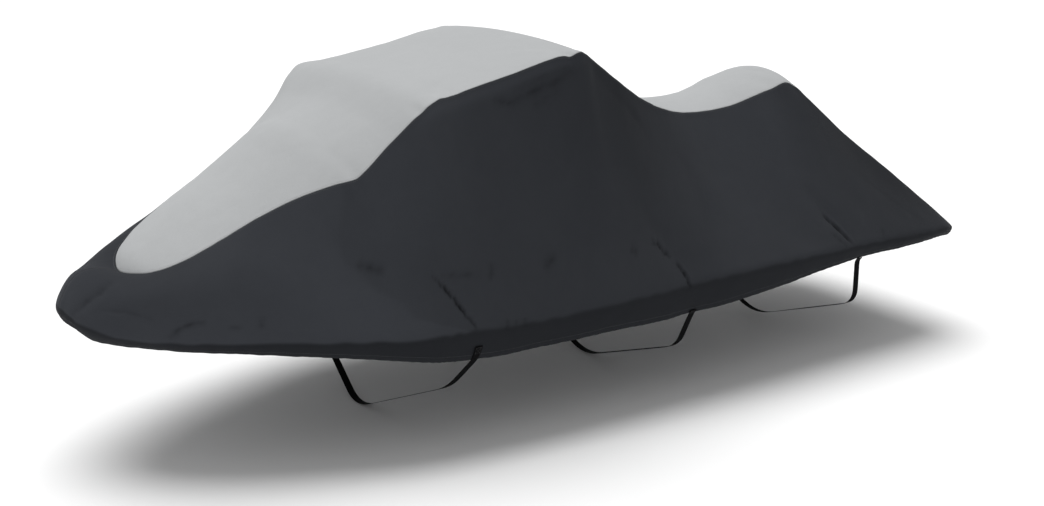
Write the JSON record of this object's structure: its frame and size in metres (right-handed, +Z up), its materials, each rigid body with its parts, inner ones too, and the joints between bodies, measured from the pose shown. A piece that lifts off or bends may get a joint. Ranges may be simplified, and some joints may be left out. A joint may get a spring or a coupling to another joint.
{
  "type": "fitted personal watercraft cover",
  "caption": "Fitted two-tone cloth cover for a sit-on personal watercraft, with a crowned hood and seat panel, a turned-under hem and webbing straps that run under the hull.",
  "frame": {"origin": "on the floor under the middle of the cover's box, level with the lowest point of the straps", "axes": "+X towards the stern, with the bow at -X; +Y to starboard; +Z up, out of the top of the cover"},
  "size_m": [3.2882, 1.2222, 1.1786],
  "materials": {
    "dark_cloth": "matte",
    "light_cloth": "matte",
    "webbing": "satin"
  },
  "bodies": {
    "root": {"hood_panel": "light_cloth", "back_panel": "dark_cloth", "seat_panel": "light_cloth", "stern_panel": "dark_cloth", "side_port": "dark_cloth", "side_starboard": "dark_cloth", "strap_front": "webbing", "strap_middle": "webbing", "strap_rear": "webbing"}
  },
  "joints": []
}
